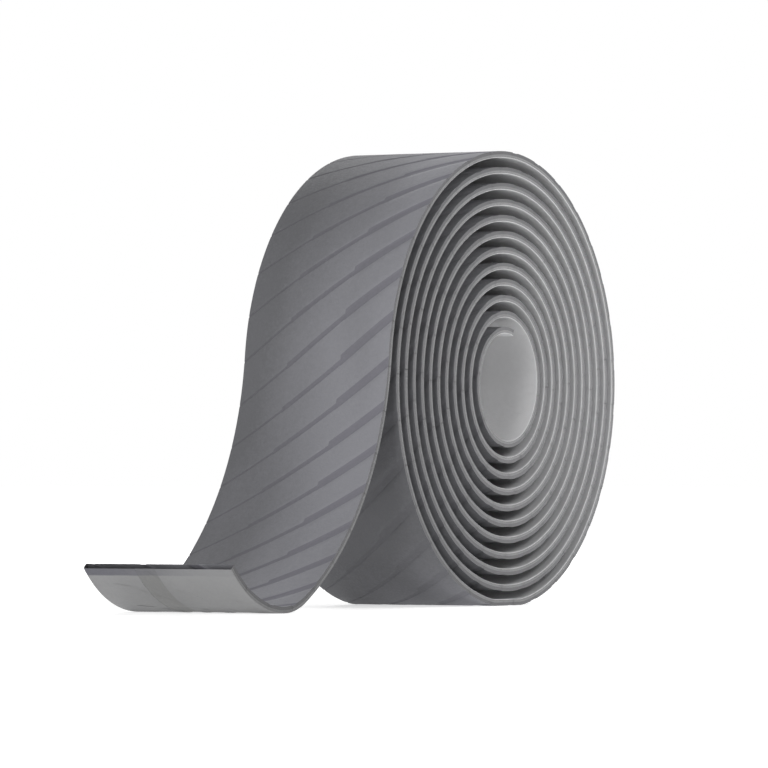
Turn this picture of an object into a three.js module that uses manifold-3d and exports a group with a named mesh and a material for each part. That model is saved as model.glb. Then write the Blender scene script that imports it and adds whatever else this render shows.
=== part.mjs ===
import * as THREE from 'three';
import { mergeVertices } from 'three/addons/utils/BufferGeometryUtils.js';
import Module from 'manifold-3d';

// A roll of handlebar tape that stands on its tread, with its outer end let down to the ground.
// Millimetres, Z up. The roll's axis lies along Y, and the loose end lies towards -X.
// The origin is the middle of the flat spot that the roll stands on.
//
// The tape is first laid out flat. A point on it is given by its distance from the free end,
// its place across the width, and its height above the back. wind() carries it into the roll.

// Tape
const tapeWidth = 30;
const tapeThickness = 1.2;

// Roll. The turns are counted from the left of the roll, inwards over the top.
const coreRadius = 9;
const turns = 11.3;
const turnGap = 1.73;
const flatSpotDepth = 0.3;

// Loose end. A lean is the tape's angle from upright as it comes down; past 90 degrees it rises.
const leaveLean = THREE.MathUtils.degToRad(6.5);
const bendLean = THREE.MathUtils.degToRad(62);
const levelLean = THREE.MathUtils.degToRad(90);
const endLean = THREE.MathUtils.degToRad(137.5);
const lowerBendRadius = 15;
const curlRadius = 24;

// Grip grooves. Each crosses the tread on a slant and narrows in three steps.
const groovePitch = 8.2;
const grooveSlant = THREE.MathUtils.degToRad(38.7);
const firstGroove = 2.5;
const grooveOverrun = 0.6;
const grooveSteps = [
  { from: 0, to: 0.33, low: -0.45, high: 1.15, depth: 0.26 },
  { from: 0.31, to: 0.7, low: -0.35, high: 0.55, depth: 0.22 },
  { from: 0.68, to: 1, low: -0.22, high: 0.2, depth: 0.18 },
];

// Fineness of the facets
const outerFacetAngle = THREE.MathUtils.degToRad(6);
const innerFacetAngle = THREE.MathUtils.degToRad(12);
const tailFacetLength = 3.5;
const grooveFacetLength = 4.2;

const fullTurn = 2 * Math.PI;
const pitch = tapeThickness + turnGap;
const radiusPerRadian = pitch / fullTurn;
const outerRadius = coreRadius + pitch * turns;
const bottomAngle = 0.75 * fullTurn;
const endAngle = turns * fullTurn;
const axisHeight = backRadius(bottomAngle) + tapeThickness - flatSpotDepth;
const leavePoint = rollPoint(leaveLean);
const bends = looseEndBends();
const looseLength = bends.reduce((sum, bend) => sum + bend.radius * (bend.to - bend.from), 0);
const rollLength = lengthToAngle(endAngle);

// Radius of the tape's back, less by one pitch for each turn inwards.
function backRadius(angle) {
  return outerRadius - radiusPerRadian * angle;
}

// The back of the tape in the roll follows an involute, so every turn keeps the same gap.
function rollPoint(angle) {
  const radius = backRadius(angle);
  return {
    x: -radius * Math.cos(angle) - radiusPerRadian * Math.sin(angle),
    z: axisHeight + radius * Math.sin(angle) - radiusPerRadian * Math.cos(angle),
    angle,
  };
}

// Length of tape in the roll between the point where it leaves and an angle further in.
function lengthToAngle(angle) {
  const mean = (backRadius(leaveLean) + backRadius(angle)) / 2;
  return mean * (angle - leaveLean);
}

function angleAtLength(length) {
  const start = backRadius(leaveLean);
  const end = Math.sqrt(start * start - 2 * radiusPerRadian * length);
  return leaveLean + (start - end) / radiusPerRadian;
}

// The loose end is three arcs. The upper one has the radius that brings the lowest point to the ground.
function looseEndBends() {
  const lowerDrop = lowerBendRadius * (Math.sin(levelLean) - Math.sin(bendLean));
  const upperDrop = leavePoint.z - lowerDrop;
  const upperBendRadius = upperDrop / (Math.sin(bendLean) - Math.sin(leaveLean));
  return [
    { radius: upperBendRadius, from: leaveLean, to: bendLean },
    { radius: lowerBendRadius, from: bendLean, to: levelLean },
    { radius: curlRadius, from: levelLean, to: endLean },
  ];
}

// Point of the loose end at a distance from where it leaves the roll. The last arc runs on past its end.
function loosePoint(distance) {
  const point = { x: leavePoint.x, z: leavePoint.z, angle: leaveLean };
  let left = distance;
  for (const bend of bends) {
    const whole = bend.radius * (bend.to - bend.from);
    const isLast = bend === bends[bends.length - 1];
    const used = isLast ? left : Math.min(left, whole);
    const lean = bend.from + used / bend.radius;
    point.x -= bend.radius * (Math.cos(bend.from) - Math.cos(lean));
    point.z -= bend.radius * (Math.sin(lean) - Math.sin(bend.from));
    point.angle = lean;
    left -= used;
    if (left <= 0) break;
  }
  return point;
}

// From the flat tape to its place in the roll or the loose end.
function wind(fromEnd, across, height) {
  const inRoll = fromEnd > looseLength;
  const point = inRoll ? rollPoint(angleAtLength(fromEnd - looseLength)) : loosePoint(looseLength - fromEnd);
  const x = point.x - height * Math.cos(point.angle);
  const z = point.z + height * Math.sin(point.angle);
  const pressed = inRoll ? Math.max(z, tapeThickness - height) : z;
  return [x, across, pressed];
}

// Distances from the free end at which the tape changes direction.
function facetStations() {
  const stations = [];
  let start = looseLength;
  for (const bend of bends) {
    const length = bend.radius * (bend.to - bend.from);
    const count = Math.ceil(length / tailFacetLength);
    for (let i = 0; i < count; i += 1) stations.push(start - (length * i) / count);
    start -= length;
  }
  stations.push(0);
  stations.reverse();
  for (let angle = nextFacet(leaveLean); angle < endAngle - innerFacetAngle / 2; angle = nextFacet(angle)) {
    stations.push(looseLength + lengthToAngle(angle));
  }
  stations.push(looseLength + rollLength);
  return stations;
}

function nextFacet(angle) {
  const step = angle < fullTurn ? outerFacetAngle : innerFacetAngle;
  return step * (Math.floor(angle / step + 0.001) + 1);
}

// A closed three.js geometry as a solid for cutting.
function toSolid(wasm, geometry) {
  geometry.deleteAttribute('normal');
  geometry.deleteAttribute('uv');
  const merged = mergeVertices(geometry, 1e-5);
  const vertProperties = new Float32Array(merged.attributes.position.array);
  const triVerts = new Uint32Array(merged.index.array);
  return new wasm.Manifold(new wasm.Mesh({ numProp: 3, vertProperties, triVerts }));
}

function toGeometry(solid) {
  const mesh = solid.getMesh();
  const geometry = new THREE.BufferGeometry();
  geometry.setAttribute('position', new THREE.BufferAttribute(mesh.vertProperties, 3));
  geometry.setIndex(new THREE.BufferAttribute(mesh.triVerts, 1));
  geometry.computeVertexNormals();
  return geometry;
}

// Moves each vertex of a flat geometry through a function of its own three coordinates.
function reshape(geometry, move) {
  const position = geometry.attributes.position;
  for (let i = 0; i < position.count; i += 1) {
    position.setXYZ(i, ...move(position.getX(i), position.getY(i), position.getZ(i)));
  }
  return geometry;
}

// The whole tape as a plain band, wound up.
function band() {
  const stations = facetStations();
  const count = stations.length - 1;
  const flat = new THREE.BoxGeometry(count, tapeWidth, tapeThickness, count, 1, 1);
  return reshape(flat, (x, y, z) => wind(stations[Math.round(x + count / 2)], y, z + tapeThickness / 2));
}

// One step of a groove: a slanting block that sinks into the tread. It is wound with the tape.
function grooveBlock(middle, step) {
  const start = step.from === 0 ? -grooveOverrun : step.from * tapeWidth;
  const end = step.to === 1 ? tapeWidth + grooveOverrun : step.to * tapeWidth;
  const rows = Math.ceil((end - start) * Math.tan(grooveSlant) / grooveFacetLength);
  const height = step.depth + grooveOverrun;
  const flat = new THREE.BoxGeometry(step.high - step.low, end - start, height, 1, rows, 1);
  const along = (step.high + step.low) / 2;
  const across = (start + end - tapeWidth) / 2;
  const above = tapeThickness - step.depth + height / 2;
  return reshape(flat, (x, y, z) => {
    const place = y + across;
    const fromEnd = middle - place * Math.tan(grooveSlant) + (x + along) / Math.cos(grooveSlant);
    return wind(fromEnd, place, z + above);
  });
}

// Grooves go along the loose end and once round the roll. The tread of the turns inside is out of sight.
function grooveMiddles() {
  const grooved = looseLength + lengthToAngle(fullTurn + leaveLean) + (tapeWidth / 2) * Math.tan(grooveSlant);
  const count = Math.floor((grooved - firstGroove) / groovePitch);
  return Array.from({ length: count }, (_, i) => firstGroove + i * groovePitch);
}

async function handlebarTape() {
  const wasm = await Module();
  wasm.setup();
  let tape = toSolid(wasm, band());
  for (const middle of grooveMiddles()) {
    for (const step of grooveSteps) tape = tape.subtract(toSolid(wasm, grooveBlock(middle, step)));
  }
  const material = new THREE.MeshStandardMaterial({ color: 0x85858a, roughness: 0.75, metalness: 0 });
  const mesh = new THREE.Mesh(toGeometry(tape), material);
  mesh.name = 'handlebar_tape';
  return mesh;
}

const part = new THREE.Group();
part.add(await handlebarTape());

export default part;
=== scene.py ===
import bpy
import math
import numpy as np
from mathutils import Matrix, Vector


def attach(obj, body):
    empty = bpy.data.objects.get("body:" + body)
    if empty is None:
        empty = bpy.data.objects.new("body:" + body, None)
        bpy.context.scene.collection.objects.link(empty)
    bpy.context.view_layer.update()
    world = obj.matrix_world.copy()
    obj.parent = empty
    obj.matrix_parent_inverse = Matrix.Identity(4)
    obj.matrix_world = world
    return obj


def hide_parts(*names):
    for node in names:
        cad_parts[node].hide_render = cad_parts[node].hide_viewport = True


# A roll of handlebar tape: a grey grooved skin on a lighter foam back. Metres, Z up.
# The tape is modelled lying flat along X, from its free end, and is then wound up.

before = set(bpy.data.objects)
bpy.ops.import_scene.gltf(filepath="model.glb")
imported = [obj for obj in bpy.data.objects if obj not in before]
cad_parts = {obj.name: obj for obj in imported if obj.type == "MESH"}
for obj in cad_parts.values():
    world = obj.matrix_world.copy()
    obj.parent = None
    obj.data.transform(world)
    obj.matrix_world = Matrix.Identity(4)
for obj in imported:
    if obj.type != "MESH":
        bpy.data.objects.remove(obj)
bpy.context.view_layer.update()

MM = 0.001

# The tape and the roll
TAPE_WIDTH = 30 * MM
TAPE_THICKNESS = 1.2 * MM
CORE_RADIUS = 9.0 * MM
TURNS = 11.3
TURN_GAP = 1.73 * MM
FLAT_SPOT_DEPTH = 0.3 * MM

# The loose end. A lean is the tape's angle from upright as it comes down; past 90 degrees it rises.
LEAVE_LEAN = math.radians(6.5)
BEND_LEAN = math.radians(62)
LEVEL_LEAN = math.radians(90)
END_LEAN = math.radians(137.5)
LOWER_BEND_RADIUS = 15 * MM
CURL_RADIUS = 24 * MM

# The cut edges: where the foam meets the skin, and how far the edges of the back are softened
FOAM_TOP = 0.58 * MM
EDGE_SOFTENING = 0.1 * MM

# The grip grooves. A step's limits are measured square to the groove, from its middle.
GROOVE_PITCH = 8.2 * MM
GROOVE_SLANT = math.radians(38.7)
FIRST_GROOVE = 2.5 * MM
GROOVE_DEPTH = 0.10 * MM
GROOVE_WALL = 0.17 * MM
GROOVE_STEPS = [
    {"to": 0.33, "low": -0.45 * MM, "high": 1.15 * MM},
    {"to": 0.70, "low": -0.35 * MM, "high": 0.55 * MM},
    {"to": 1.00, "low": -0.22 * MM, "high": 0.20 * MM},
]

# The adhesive line on the back, in a shallow channel a little off the middle
ADHESIVE_FROM = 0.4 * MM
ADHESIVE_TO = 4.6 * MM
CHANNEL_WALL = 0.06 * MM
CHANNEL_DEPTH = 0.05 * MM

# Fineness of the mesh
TREAD_ROWS = 11
LAND_COLUMNS = 4
BACK_ROWS = 6
MERGE_DISTANCE = 0.005 * MM
SMOOTH_ANGLE = math.radians(35)

# Room for rounding where cuts are made, and where faces are told apart by their place
CUT_THRESHOLD = 1e-7
SLACK = 0.01 * MM

# How squarely a face points across the tape, along it or down, for its finish to be told by that
EDGE_FACING = 0.9
END_FACING = 0.99
DOWN_FACING = -0.05

# Camera, at the photograph's viewing angle
CAMERA_PLACE = (-0.9774, -0.5606, 0.0227)
CAMERA_AZIMUTH = math.radians(59.674)
CAMERA_PITCH = math.radians(0.919)
CAMERA_LENS = 285.8
SENSOR_WIDTH = 36.0
CLIP_START = 0.01
CLIP_END = 50


def make_camera():
    data = bpy.data.cameras.new("camera")
    data.lens = CAMERA_LENS
    data.sensor_width = SENSOR_WIDTH
    data.clip_start = CLIP_START
    data.clip_end = CLIP_END
    camera = bpy.data.objects.new("camera", data)
    camera.location = CAMERA_PLACE
    camera.rotation_euler = (math.pi / 2 + CAMERA_PITCH, 0, -CAMERA_AZIMUTH)
    bpy.context.scene.collection.objects.link(camera)
    bpy.context.scene.camera = camera
    bpy.context.scene.view_settings.view_transform = "Standard"


# Winding. Angles in the roll run from its left, over the top and inwards.

FULL_TURN = 2 * math.pi
RADIUS_PER_RADIAN = (TAPE_THICKNESS + TURN_GAP) / FULL_TURN
OUTER_RADIUS = CORE_RADIUS + (TAPE_THICKNESS + TURN_GAP) * TURNS
BOTTOM_ANGLE = 0.75 * FULL_TURN
END_ANGLE = TURNS * FULL_TURN


def back_radius(angle):
    return OUTER_RADIUS - RADIUS_PER_RADIAN * angle


AXIS_HEIGHT = back_radius(BOTTOM_ANGLE) + TAPE_THICKNESS - FLAT_SPOT_DEPTH


def roll_point(angle):
    """The tape's back in the roll: an involute, so that every turn keeps the same gap."""
    radius = back_radius(angle)
    x = -radius * np.cos(angle) - RADIUS_PER_RADIAN * np.sin(angle)
    z = AXIS_HEIGHT + radius * np.sin(angle) - RADIUS_PER_RADIAN * np.cos(angle)
    return x, z


def length_to_angle(angle):
    """Length of tape in the roll between the point where it leaves and an angle further in."""
    return (back_radius(LEAVE_LEAN) + back_radius(angle)) / 2 * (angle - LEAVE_LEAN)


def angle_at_length(length):
    start = back_radius(LEAVE_LEAN)
    end = np.sqrt(start * start - 2 * RADIUS_PER_RADIAN * length)
    return LEAVE_LEAN + (start - end) / RADIUS_PER_RADIAN


def loose_end_bends():
    """Radius, first lean and last lean of each bend, from the roll down to the free end."""
    # The upper bend's radius brings the lowest point to the ground
    leave_height = float(roll_point(LEAVE_LEAN)[1])
    lower_drop = LOWER_BEND_RADIUS * (1 - math.sin(BEND_LEAN))
    upper_radius = (leave_height - lower_drop) / (math.sin(BEND_LEAN) - math.sin(LEAVE_LEAN))
    return [
        (upper_radius, LEAVE_LEAN, BEND_LEAN),
        (LOWER_BEND_RADIUS, BEND_LEAN, LEVEL_LEAN),
        (CURL_RADIUS, LEVEL_LEAN, END_LEAN),
    ]


BENDS = loose_end_bends()
LOOSE_LENGTH = sum(radius * (last - first) for radius, first, last in BENDS)
TAPE_LENGTH = LOOSE_LENGTH + length_to_angle(END_ANGLE)


def place_in_roll(degrees):
    """Distance from the free end to an angle in the roll."""
    return LOOSE_LENGTH + length_to_angle(math.radians(degrees))


def loose_point(distance):
    """The tape's back and its lean, at distances past the point where it leaves the roll."""
    x, z = (np.full_like(distance, start) for start in roll_point(LEAVE_LEAN))
    lean = np.full_like(distance, LEAVE_LEAN)
    left = distance.copy()
    for radius, first, last in BENDS:
        used = np.clip(left, 0, radius * (last - first))
        reached = first + used / radius
        x -= radius * (math.cos(first) - np.cos(reached))
        z -= radius * (np.sin(reached) - math.sin(first))
        lean = np.where(used > 0, reached, lean)
        left -= used
    return x, z, lean


def wind(mesh):
    """Carries the flat tape into the roll and the loose end."""
    flat = np.zeros(len(mesh.vertices) * 3)
    mesh.vertices.foreach_get("co", flat)
    along, across, height = flat.reshape(-1, 3).T
    along = np.clip(along, 0, TAPE_LENGTH)
    in_roll = along > LOOSE_LENGTH
    angle = angle_at_length(np.maximum(along - LOOSE_LENGTH, 0))
    roll_x, roll_z = roll_point(angle)
    loose_x, loose_z, lean = loose_point(np.maximum(LOOSE_LENGTH - along, 0))
    angle = np.where(in_roll, angle, lean)
    x = np.where(in_roll, roll_x, loose_x) - height * np.cos(angle)
    z = np.where(in_roll, roll_z, loose_z) + height * np.sin(angle)
    z = np.where(in_roll, np.maximum(z, TAPE_THICKNESS - height), z)
    mesh.vertices.foreach_set("co", np.stack([x, across, z], 1).ravel())
    mesh.update()


# The tape, laid flat

GROOVE_NORMAL = (math.cos(GROOVE_SLANT), math.sin(GROOVE_SLANT), 0.0)
TILE_ACROSS = GROOVE_PITCH * math.cos(GROOVE_SLANT)
OVERHANG = TAPE_WIDTH / 2 * math.tan(GROOVE_SLANT)


def deselect():
    bpy.ops.object.select_all(action="DESELECT")


def choose(piece, kind, test):
    """In edit mode, selects just what passes the test, which is given a face, or an edge's two ends."""
    bpy.ops.object.mode_set(mode="OBJECT")
    mesh = piece.data
    for group in (mesh.vertices, mesh.edges, mesh.polygons):
        group.foreach_set("select", np.zeros(len(group), bool))
    if kind == "EDGE":
        for edge in mesh.edges:
            edge.select = test([mesh.vertices[i].co for i in edge.vertices])
    else:
        for face in mesh.polygons:
            face.select = test(face)
    bpy.ops.object.mode_set(mode="EDIT")
    bpy.ops.mesh.select_mode(type=kind)


def cut(place, direction, **options):
    """Cuts all that is selected by a plane."""
    bpy.ops.mesh.bisect(plane_co=place, plane_no=direction, threshold=CUT_THRESHOLD, **options)


def cut_all(place, direction, **options):
    bpy.ops.mesh.select_all(action="SELECT")
    cut(place, direction, **options)


def lines_along_groove():
    """Where the groove's sides lie, and the lines that divide the land, measured square to the groove."""
    lines = sorted(step[side] for step in GROOVE_STEPS for side in ("low", "high"))
    land_from, land_to = lines[-1], lines[0] + TILE_ACROSS
    for i in range(1, LAND_COLUMNS + 1):
        line = land_from + (land_to - land_from) * i / (LAND_COLUMNS + 1)
        lines.append(line if line < TILE_ACROSS / 2 else line - TILE_ACROSS)
    return lines


def tread_tile():
    """One groove and the land beside it: a slanting piece of tape, a groove pitch long."""
    deselect()
    bpy.ops.mesh.primitive_plane_add(size=1, location=(0, 0, 0))
    tile = bpy.context.object
    tile.name = "tape"
    bpy.ops.object.mode_set(mode="EDIT")
    bpy.ops.mesh.select_all(action="SELECT")
    bpy.ops.transform.resize(value=(GROOVE_PITCH, TAPE_WIDTH, 1))
    bpy.ops.transform.translate(value=(0, 0, TAPE_THICKNESS))
    for side in (-1, 1):
        choose(tile, "EDGE", lambda ends: all(end.y * side > 0 for end in ends))
        bpy.ops.transform.translate(value=(-side * OVERHANG, 0, 0))
    for line in lines_along_groove():
        cut_all((line * GROOVE_NORMAL[0], line * GROOVE_NORMAL[1], 0), GROOVE_NORMAL)
    rows = [i / TREAD_ROWS for i in range(1, TREAD_ROWS)]
    for share in rows + [step["to"] for step in GROOVE_STEPS[:-1]]:
        cut_all((0, (share - 0.5) * TAPE_WIDTH, 0), (0, 1, 0))
    return tile


def in_groove(face):
    share = face.center.y / TAPE_WIDTH + 0.5
    step = next(step for step in GROOVE_STEPS if share < step["to"])
    across = face.center.x * GROOVE_NORMAL[0] + face.center.y * GROOVE_NORMAL[1]
    return step["low"] < across < step["high"]


def sink_groove(tile):
    choose(tile, "FACE", in_groove)
    bpy.ops.mesh.inset(thickness=GROOVE_WALL, depth=-GROOVE_DEPTH, use_boundary=False)


def on_long_side(ends):
    return all(abs(end.y) > TAPE_WIDTH / 2 - SLACK for end in ends)


def build_down(tile):
    """The tape's two edges and its back, from the tread's long sides."""
    choose(tile, "EDGE", on_long_side)
    for height, inset in ((FOAM_TOP, 0), (EDGE_SOFTENING, 0), (0, EDGE_SOFTENING)):
        bpy.ops.mesh.extrude_edges_move()
        narrower = 1 - inset / (TAPE_WIDTH / 2)
        bpy.ops.transform.resize(value=(1, narrower, 0), center_override=(0, 0, height))
    bpy.ops.mesh.bridge_edge_loops(number_cuts=BACK_ROWS)
    bpy.ops.mesh.select_all(action="SELECT")
    bpy.ops.mesh.normals_make_consistent(inside=False)


def on_back(face):
    return face.center.z < SLACK


def under_adhesive(face):
    return on_back(face) and ADHESIVE_FROM < face.center.y < ADHESIVE_TO


def sink_channel(tile):
    for side in (ADHESIVE_FROM, ADHESIVE_TO):
        choose(tile, "FACE", on_back)
        cut((0, side, 0), (0, 1, 0))
    choose(tile, "FACE", under_adhesive)
    bpy.ops.mesh.inset(thickness=CHANNEL_WALL, depth=-CHANNEL_DEPTH, use_boundary=False)


def repeat_tile(tile):
    """Lays copies of the tile from before the free end to past the other end."""
    before = math.ceil((OVERHANG + FIRST_GROOVE) / GROOVE_PITCH) + 1
    after = math.ceil((TAPE_LENGTH + OVERHANG) / GROOVE_PITCH) + 1
    bpy.ops.mesh.select_all(action="SELECT")
    bpy.ops.transform.translate(value=(FIRST_GROOVE - before * GROOVE_PITCH, 0, 0))
    bpy.ops.object.mode_set(mode="OBJECT")
    array = tile.modifiers.new("along the tape", "ARRAY")
    array.count = before + after
    array.use_relative_offset = False
    array.use_constant_offset = True
    array.constant_offset_displace = (GROOVE_PITCH, 0, 0)
    array.use_merge_vertices = True
    array.merge_threshold = MERGE_DISTANCE
    bpy.context.view_layer.objects.active = tile
    tile.select_set(True)
    bpy.ops.object.modifier_apply(modifier=array.name)


def cut_ends():
    bpy.ops.object.mode_set(mode="EDIT")
    cut_all((0, 0, 0), (1, 0, 0), clear_inner=True, use_fill=True)
    cut_all((TAPE_LENGTH, 0, 0), (1, 0, 0), clear_outer=True, use_fill=True)
    bpy.ops.object.mode_set(mode="OBJECT")


def keep_flat_place(mesh):
    """Stores where each point lies on the flat tape, for the materials to follow."""
    flat = np.zeros(len(mesh.vertices) * 3, np.float32)
    mesh.vertices.foreach_get("co", flat)
    place = mesh.attributes.new("laid_flat", "FLOAT_VECTOR", "POINT")
    place.data.foreach_set("vector", flat)


def face_vectors(mesh, name):
    values = np.zeros(len(mesh.polygons) * 3)
    mesh.polygons.foreach_get(name, values)
    return values.reshape(-1, 3).T


FINISHES = ["tread", "groove", "cut skin", "cut foam", "back", "adhesive"]


def give_finishes(mesh, materials):
    """Each face's material, from where it lies on the flat tape. A later rule wins."""
    facing_x, facing_y, facing_z = face_vectors(mesh, "normal")
    x, y, z = face_vectors(mesh, "center")
    on_edge = (np.abs(facing_y) > EDGE_FACING) & (np.abs(y) > TAPE_WIDTH / 2 - 2 * SLACK)
    on_end = (np.abs(facing_x) > END_FACING) & ((x < SLACK) | (x > TAPE_LENGTH - SLACK))
    in_channel = (y > ADHESIVE_FROM) & (y < ADHESIVE_TO)
    rules = [
        ("groove", (facing_z > DOWN_FACING) & (z > FOAM_TOP)),
        ("tread", z > TAPE_THICKNESS - SLACK / 2),
        ("cut foam", on_edge & (z < FOAM_TOP)),
        ("cut skin", on_edge & (z > FOAM_TOP)),
        ("cut skin", on_end),
        ("adhesive", in_channel & (z > CHANNEL_DEPTH / 2) & (z < CHANNEL_DEPTH * 2)),
    ]
    finish = np.full(len(x), FINISHES.index("back"), np.int32)
    for name, chosen in rules:
        finish[chosen] = FINISHES.index(name)
    for name in FINISHES:
        mesh.materials.append(materials[name])
    mesh.polygons.foreach_set("material_index", finish)


# Materials. Lengths in them are in metres, along the flat tape, across it and up from its back.

# Each finish runs between a dark and a light colour. In the tread and the grooves these are a painted-shade
# and a painted-light copy of one colour.
TREAD_TONES = ((0.150, 0.151, 0.160, 1), (0.300, 0.300, 0.325, 1))
# The grooves are darker partly in their own tone and partly by painted shade in the recess; the fainter
# tones hold less of it
GROOVE_TONES = ((0.137, 0.136, 0.147, 1), (0.221, 0.217, 0.246, 1))
FADED_SHADE_GROOVE_TONES = ((0.147, 0.147, 0.157, 1), (0.272, 0.270, 0.296, 1))
CUT_SKIN_TONES = ((0.075, 0.075, 0.079, 1), (0.112, 0.112, 0.118, 1))
CUT_FOAM_TONES = ((0.196, 0.196, 0.199, 1), (0.242, 0.242, 0.245, 1))
FOAM_PORE_COLOR = (0.165, 0.165, 0.168, 1)
BACK_TONES = ((0.56, 0.56, 0.567, 1), (0.64, 0.64, 0.647, 1))
ADHESIVE_TONES = ((0.44, 0.44, 0.435, 1), (0.50, 0.50, 0.494, 1))

# The grooves grow fainter between the far side and the bottom of the outer turn: their painted shade fades
# where the roll lies in shade
GROOVE_SHADE_FADE_FROM = place_in_roll(190)
GROOVE_SHADE_FADE_TO = place_in_roll(265)

# Painted shade: the skin is painted darker from where the outer turn passes the bottom, behind the loose
# end, and all through the turns inside.
# The strength is the share of the painted light that the skin loses there. Past 1, the clouds in it show
# less too.
PAINTED_SHADE_FROM = place_in_roll(268)
PAINTED_SHADE_TO = place_in_roll(326)
PAINTED_SHADE_STRENGTH = 1.1

# The back is painted greyer in the loose end as painted shade, and has a dark band at the free end
LOOSE_END_SHADE_FULL_TO = 80 * MM
LOOSE_END_SHADE_GONE_FROM = 125 * MM
LOOSE_END_PAINTED_SHADE = (0.53, 0.53, 0.53, 1)
BAND_LENGTH = 1.7 * MM
BAND_COLOR = (0.125, 0.125, 0.15, 1)
BAND_BLUR = 0.2 * MM
BAND_FAINT_AT = -12 * MM
BAND_STRONG_AT = 14 * MM

# How far clouds and grain move the skin's tone
CLOUD_AMOUNT = 0.35
GRAIN_AMOUNT = 0.12

# How much the skin shines, and how deep the fine relief is
SKIN_SPECULAR = 0.25
TREAD_GRAIN_DEPTH = 0.04 * MM
GROOVE_GRAIN_DEPTH = 0.02 * MM
CUT_SKIN_GRAIN_DEPTH = 0.03 * MM
FOAM_PORE_DEPTH = 0.05 * MM
BACK_GRAIN_DEPTH = 0.03 * MM


def add(tree, kind, **settings):
    node = tree.nodes.new(kind)
    for name, value in settings.items():
        setattr(node, name, value)
    return node


def feed(tree, socket, value):
    """Sets a socket, or links another node's output to it."""
    if isinstance(value, bpy.types.NodeSocket):
        tree.links.new(value, socket)
    else:
        socket.default_value = value


def feed_all(tree, sockets, values):
    for socket, value in zip(sockets, values):
        feed(tree, socket, value)


def maths(tree, operation, *values):
    node = add(tree, "ShaderNodeMath", operation=operation)
    feed_all(tree, node.inputs, values)
    return node.outputs[0]


def split(tree, vector):
    node = add(tree, "ShaderNodeSeparateXYZ")
    feed(tree, node.inputs[0], vector)
    return node.outputs


def stretched(tree, place, scale):
    node = add(tree, "ShaderNodeVectorMath", operation="MULTIPLY")
    feed_all(tree, node.inputs, (place, scale))
    return node.outputs[0]


def noise(tree, place, scale, detail=2.0, roughness=0.5):
    node = add(tree, "ShaderNodeTexNoise")
    feed(tree, node.inputs["Vector"], place)
    feed(tree, node.inputs["Scale"], scale)
    feed(tree, node.inputs["Detail"], detail)
    feed(tree, node.inputs["Roughness"], roughness)
    return node.outputs["Fac"]


def ramp(tree, value, low, high, to_low=0.0, to_high=1.0):
    """Eases from one number to another as a value goes from low to high."""
    node = add(tree, "ShaderNodeMapRange", interpolation_type="SMOOTHSTEP")
    feed_all(tree, node.inputs, (value, low, high, to_low, to_high))
    return node.outputs[0]


def blend(tree, factor, first, second, blend_type="MIX"):
    node = add(tree, "ShaderNodeMix", data_type="RGBA", blend_type=blend_type)
    feed(tree, node.inputs["Factor"], factor)
    feed(tree, node.inputs[6], first)
    feed(tree, node.inputs[7], second)
    return node.outputs[2]


def vary(tree, factor, pattern, amount):
    """Moves a factor up and down with a pattern that runs about 0.5."""
    return maths(tree, "ADD", factor, maths(tree, "MULTIPLY", maths(tree, "SUBTRACT", pattern, 0.5), amount))


def new_group(name, inputs, output):
    tree = bpy.data.node_groups.new(name, "ShaderNodeTree")
    for label, kind in inputs:
        tree.interface.new_socket(label, in_out="INPUT", socket_type=kind)
    tree.interface.new_socket(output, in_out="OUTPUT", socket_type="NodeSocketFloat")
    return tree, add(tree, "NodeGroupInput").outputs, add(tree, "NodeGroupOutput").inputs


def fine_grain_group():
    """The small pebbles and creases of a moulded skin."""
    inputs = [("Place", "NodeSocketVector"), ("Cells per metre", "NodeSocketFloat")]
    tree, given, result = new_group("fine grain", inputs, "Height")
    cells = add(tree, "ShaderNodeTexVoronoi", feature="SMOOTH_F1")
    feed(tree, cells.inputs["Vector"], given["Place"])
    feed(tree, cells.inputs["Scale"], given["Cells per metre"])
    pebble = maths(tree, "SUBTRACT", 1.0, cells.outputs["Distance"])
    creases = noise(tree, given["Place"], given["Cells per metre"], detail=4.0, roughness=0.6)
    kept = ramp(tree, creases, 0.2, 0.8, to_low=0.6, to_high=1.0)
    feed(tree, result["Height"], maths(tree, "MULTIPLY", pebble, kept))
    return tree


def cloudy_group():
    """Soft, uneven tone, drawn out along the tape, with a little of a finer one."""
    inputs = [("Place", "NodeSocketVector"), ("Clouds per metre", "NodeSocketFloat")]
    tree, given, result = new_group("cloudy tone", inputs, "Tone")
    drawn_out = stretched(tree, given["Place"], (0.35, 1.0, 1.0))
    broad = noise(tree, drawn_out, given["Clouds per metre"], detail=2.0, roughness=0.45)
    fine_scale = maths(tree, "MULTIPLY", given["Clouds per metre"], 14.0)
    fine = noise(tree, given["Place"], fine_scale, detail=3.0, roughness=0.6)
    total = maths(tree, "ADD", maths(tree, "MULTIPLY", broad, 0.8), maths(tree, "MULTIPLY", fine, 0.2))
    feed(tree, result["Tone"], ramp(tree, total, 0.3, 0.7))
    return tree


def across_group():
    """A share that grows evenly across the tape, from its +Y edge, 0, to its -Y edge, 1."""
    tree, given, result = new_group("across the tape", [("Place", "NodeSocketVector")], "Share")
    node = add(tree, "ShaderNodeMapRange")
    across = split(tree, given["Place"])[1]
    feed_all(tree, node.inputs, (across, TAPE_WIDTH / 2, -TAPE_WIDTH / 2, 0.0, 1.0))
    feed(tree, result["Share"], node.outputs[0])
    return tree


def along_group():
    """A share that grows along the tape: 0 before one distance from the free end, 1 past another."""
    inputs = [("Place", "NodeSocketVector"), ("From", "NodeSocketFloat"), ("To", "NodeSocketFloat")]
    tree, given, result = new_group("along the tape", inputs, "Share")
    along = split(tree, given["Place"])[0]
    feed(tree, result["Share"], ramp(tree, along, given["From"], given["To"]))
    return tree


def place_group(tree, group, **values):
    node = add(tree, "ShaderNodeGroup", node_tree=group)
    for label, value in values.items():
        feed(tree, node.inputs[label.replace("_", " ")], value)
    return node.outputs[0]


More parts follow.
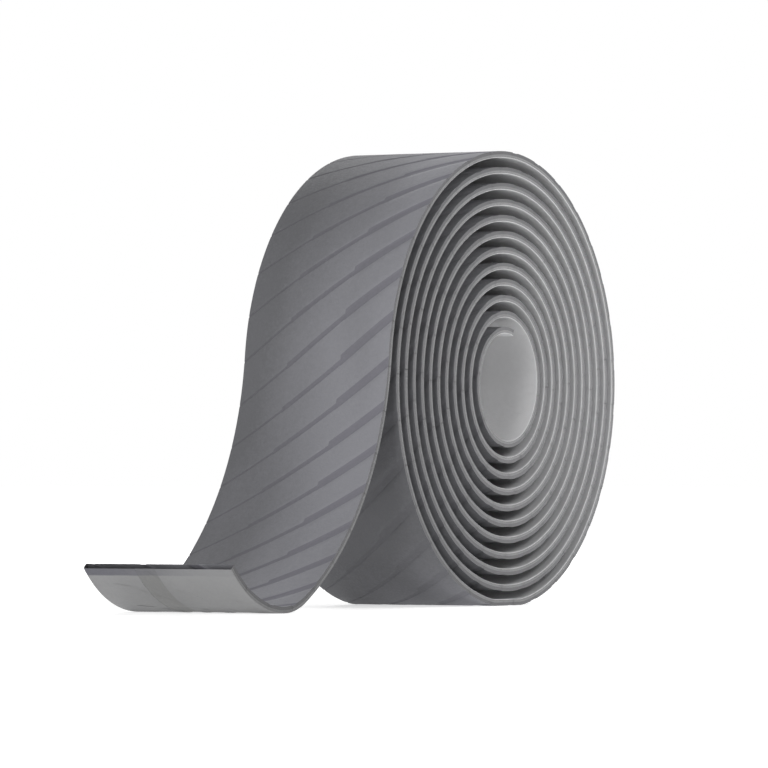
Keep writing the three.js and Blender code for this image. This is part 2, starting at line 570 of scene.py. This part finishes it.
def new_material(name):
    material = bpy.data.materials.new(name)
    material.use_nodes = True
    tree = material.node_tree
    shader = tree.nodes["Principled BSDF"]
    place = add(tree, "ShaderNodeAttribute", attribute_type="GEOMETRY", attribute_name="laid_flat")
    return material, tree, shader, place.outputs["Vector"]


def bump(tree, shader, height, depth):
    node = add(tree, "ShaderNodeBump")
    feed(tree, node.inputs["Strength"], 1.0)
    feed(tree, node.inputs["Distance"], depth)
    feed(tree, node.inputs["Height"], height)
    feed(tree, shader.inputs["Normal"], node.outputs[0])


def skin(name, groups, tones, shade_faded_tones, grain_depth, roughness):
    """The grooved face, with painted light towards its -Y edge and painted shade from the bottom of the
    outer turn inwards.
    """
    material, tree, shader, place = new_material(name)
    clouds = place_group(tree, groups["cloudy"], Place=place, Clouds_per_metre=60.0)
    share = place_group(tree, groups["across"], Place=place)
    grain = place_group(tree, groups["grain"], Place=place, Cells_per_metre=2600.0)
    painted_shade = place_group(tree, groups["along"], Place=place, From=PAINTED_SHADE_FROM, To=PAINTED_SHADE_TO)
    later = place_group(tree, groups["along"], Place=place, From=GROOVE_SHADE_FADE_FROM, To=GROOVE_SHADE_FADE_TO)
    # Painted light: the skin is painted lighter towards its -Y edge
    painted_light = ramp(tree, share, -0.1, 1.0, 0.0, 0.9)
    # Painted shade: the skin is painted darker from the bottom of the outer turn inwards
    kept = maths(tree, "SUBTRACT", 1.0, maths(tree, "MULTIPLY", painted_shade, PAINTED_SHADE_STRENGTH))
    factor = maths(tree, "MULTIPLY", painted_light, kept)
    factor = vary(tree, factor, clouds, CLOUD_AMOUNT)
    factor = vary(tree, factor, grain, GRAIN_AMOUNT)
    # The grooves take fainter tones, with less painted shade, round the bottom of the outer turn; the
    # tread's two sets of tones are the same
    color = blend(tree, later, blend(tree, factor, *tones), blend(tree, factor, *shade_faded_tones))
    feed(tree, shader.inputs["Base Color"], color)
    feed(tree, shader.inputs["Roughness"], ramp(tree, grain, 0.2, 1.0, roughness + 0.12, roughness - 0.06))
    shader.inputs["Specular IOR Level"].default_value = SKIN_SPECULAR
    bump(tree, shader, grain, grain_depth)
    return material


def cut_skin():
    """The dark layer in the cut edges and ends."""
    material, tree, shader, place = new_material("cut skin")
    pores = noise(tree, place, scale=5200.0, detail=4.0, roughness=0.65)
    feed(tree, shader.inputs["Base Color"], blend(tree, pores, *CUT_SKIN_TONES))
    feed(tree, shader.inputs["Roughness"], ramp(tree, pores, 0.3, 0.7, to_low=0.75, to_high=0.6))
    bump(tree, shader, pores, CUT_SKIN_GRAIN_DEPTH)
    return material


def cut_foam(groups):
    """The light layer in the cut edges, with its open pores."""
    material, tree, shader, place = new_material("cut foam")
    cells = add(tree, "ShaderNodeTexVoronoi", feature="F1")
    feed(tree, cells.inputs["Vector"], place)
    feed(tree, cells.inputs["Scale"], 4200.0)
    pores = ramp(tree, cells.outputs["Distance"], 0.05, 0.5)
    clouds = place_group(tree, groups["cloudy"], Place=place, Clouds_per_metre=90.0)
    color = blend(tree, pores, FOAM_PORE_COLOR, blend(tree, clouds, *CUT_FOAM_TONES))
    feed(tree, shader.inputs["Base Color"], color)
    shader.inputs["Roughness"].default_value = 0.85
    bump(tree, shader, pores, FOAM_PORE_DEPTH)
    return material


def back(name, groups, tones, roughness):
    """The foam back: painted greyer in the loose end than in the roll as painted shade, with the dark band
    at the free end.
    """
    material, tree, shader, place = new_material(name)
    clouds = place_group(tree, groups["cloudy"], Place=place, Clouds_per_metre=70.0)
    grain = place_group(tree, groups["grain"], Place=place, Cells_per_metre=1800.0)
    # Painted shade: the back is painted greyer in the loose end than in the roll
    in_roll = place_group(tree, groups["along"], Place=place, From=LOOSE_END_SHADE_FULL_TO, To=LOOSE_END_SHADE_GONE_FROM)
    loose_end_shade = maths(tree, "SUBTRACT", 1.0, in_roll)
    color = blend(tree, loose_end_shade, blend(tree, clouds, *tones), LOOSE_END_PAINTED_SHADE, "MULTIPLY")
    parts = split(tree, place)
    band = ramp(tree, parts[0], BAND_LENGTH - BAND_BLUR, BAND_LENGTH + BAND_BLUR, 1.0, 0.0)
    strength = ramp(tree, parts[1], BAND_FAINT_AT, BAND_STRONG_AT, 0.1, 0.9)
    color = blend(tree, maths(tree, "MULTIPLY", band, strength), color, BAND_COLOR)
    feed(tree, shader.inputs["Base Color"], color)
    feed(tree, shader.inputs["Roughness"], ramp(tree, grain, 0.2, 1.0, roughness + 0.1, roughness - 0.05))
    bump(tree, shader, grain, BACK_GRAIN_DEPTH)
    return material


# The tape, made and finished

def make_materials():
    groups = {
        "grain": fine_grain_group(),
        "cloudy": cloudy_group(),
        "across": across_group(),
        "along": along_group(),
    }
    return {
        "tread": skin("tread skin", groups, TREAD_TONES, TREAD_TONES, TREAD_GRAIN_DEPTH, roughness=0.62),
        "groove": skin(
            "groove skin", groups, GROOVE_TONES, FADED_SHADE_GROOVE_TONES, GROOVE_GRAIN_DEPTH, roughness=0.72
        ),
        "cut skin": cut_skin(),
        "cut foam": cut_foam(groups),
        "back": back("back", groups, BACK_TONES, roughness=0.65),
        "adhesive": back("adhesive line", groups, ADHESIVE_TONES, roughness=0.5),
    }


def make_tape():
    tape = tread_tile()
    sink_groove(tape)
    build_down(tape)
    sink_channel(tape)
    repeat_tile(tape)
    cut_ends()
    keep_flat_place(tape.data)
    give_finishes(tape.data, make_materials())
    wind(tape.data)
    deselect()
    tape.select_set(True)
    bpy.context.view_layer.objects.active = tape
    bpy.ops.object.shade_smooth_by_angle(angle=SMOOTH_ANGLE)
    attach(tape, "root")
    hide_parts("handlebar_tape")


# The studio

WHITE = (1, 1, 1, 1)
WORLD_STRENGTH = 0.18
FLOOR_SIZE = 40
FLOOR_COLOR = (0.85, 0.85, 0.85, 1)
FLOOR_GLOW = 0.30

# What the camera sees is lifted to white, less round the roll, where the shadow has to show
NEAR_FLOOR = 0.15
FAR_FLOOR = 1.0
NEAR_FLOOR_LIFT = 0.6
FAR_FLOOR_LIFT = 0.89

# Each lamp's name, place, size and power
ROLL_MIDDLE = (0.0, 0.0, 0.04)
LAMPS = [
    ("left soft box", (-0.80, -0.06, 0.33), 0.30, 2.65),
    ("near side lamp", (-0.02, -0.12, 0.11), 0.06, 0.06),
    ("right side lamp", (0.11, -0.09, 0.035), 0.05, 0.09),
    ("far side fill", (0.45, 0.65, 0.40), 0.40, 4.0),
]


def seen_directly(tree):
    """1 where the camera sees a surface, also in a reflection or through glass, and 0 elsewhere."""
    path = add(tree, "ShaderNodeLightPath").outputs
    seen = maths(tree, "MAXIMUM", path["Is Camera Ray"], path["Is Glossy Ray"])
    return maths(tree, "MAXIMUM", seen, path["Is Transmission Ray"])


def floor_material():
    """A pale floor, which the camera and reflections see as white, less the object's shadow."""
    material = bpy.data.materials.new("pale floor")
    material.use_nodes = True
    tree = material.node_tree
    tree.nodes.clear()
    matt = add(tree, "ShaderNodeBsdfDiffuse")
    matt.inputs["Color"].default_value = FLOOR_COLOR
    distance = add(tree, "ShaderNodeVectorMath", operation="LENGTH")
    feed(tree, distance.inputs[0], add(tree, "ShaderNodeTexCoord").outputs["Object"])
    lift = ramp(tree, distance.outputs["Value"], NEAR_FLOOR, FAR_FLOOR, NEAR_FLOOR_LIFT, FAR_FLOOR_LIFT)
    lift = maths(tree, "MULTIPLY", seen_directly(tree), lift)
    glow = add(tree, "ShaderNodeEmission")
    feed(tree, glow.inputs["Strength"], maths(tree, "MAXIMUM", lift, FLOOR_GLOW))
    both = add(tree, "ShaderNodeAddShader")
    feed_all(tree, both.inputs, (matt.outputs[0], glow.outputs[0]))
    output = add(tree, "ShaderNodeOutputMaterial")
    feed(tree, output.inputs["Surface"], both.outputs[0])
    return material


def make_floor():
    deselect()
    bpy.ops.mesh.primitive_plane_add(size=FLOOR_SIZE, location=(0, 0, 0))
    floor = bpy.context.object
    floor.name = "floor"
    floor.data.materials.append(floor_material())


def background(tree, strength):
    node = add(tree, "ShaderNodeBackground")
    node.inputs["Color"].default_value = WHITE
    node.inputs["Strength"].default_value = strength
    return node.outputs[0]


def make_world():
    """A plain even light, which the camera and reflections see as white."""
    world = bpy.data.worlds.new("studio")
    bpy.context.scene.world = world
    world.use_nodes = True
    tree = world.node_tree
    tree.nodes.clear()
    lighting = background(tree, WORLD_STRENGTH)
    shown = background(tree, 1.0)
    choice = add(tree, "ShaderNodeMixShader")
    feed_all(tree, choice.inputs, (seen_directly(tree), lighting, shown))
    output = add(tree, "ShaderNodeOutputWorld")
    feed(tree, output.inputs["Surface"], choice.outputs[0])


def make_lamp(name, place, size, power):
    """A square soft box that faces the roll."""
    data = bpy.data.lights.new(name, "AREA")
    data.size = size
    data.energy = power
    lamp = bpy.data.objects.new(name, data)
    lamp.location = place
    direction = Vector(ROLL_MIDDLE) - Vector(place)
    lamp.rotation_euler = direction.to_track_quat("-Z", "Y").to_euler()
    bpy.context.scene.collection.objects.link(lamp)


make_camera()
make_world()
make_floor()
for lamp in LAMPS:
    make_lamp(*lamp)
make_tape()
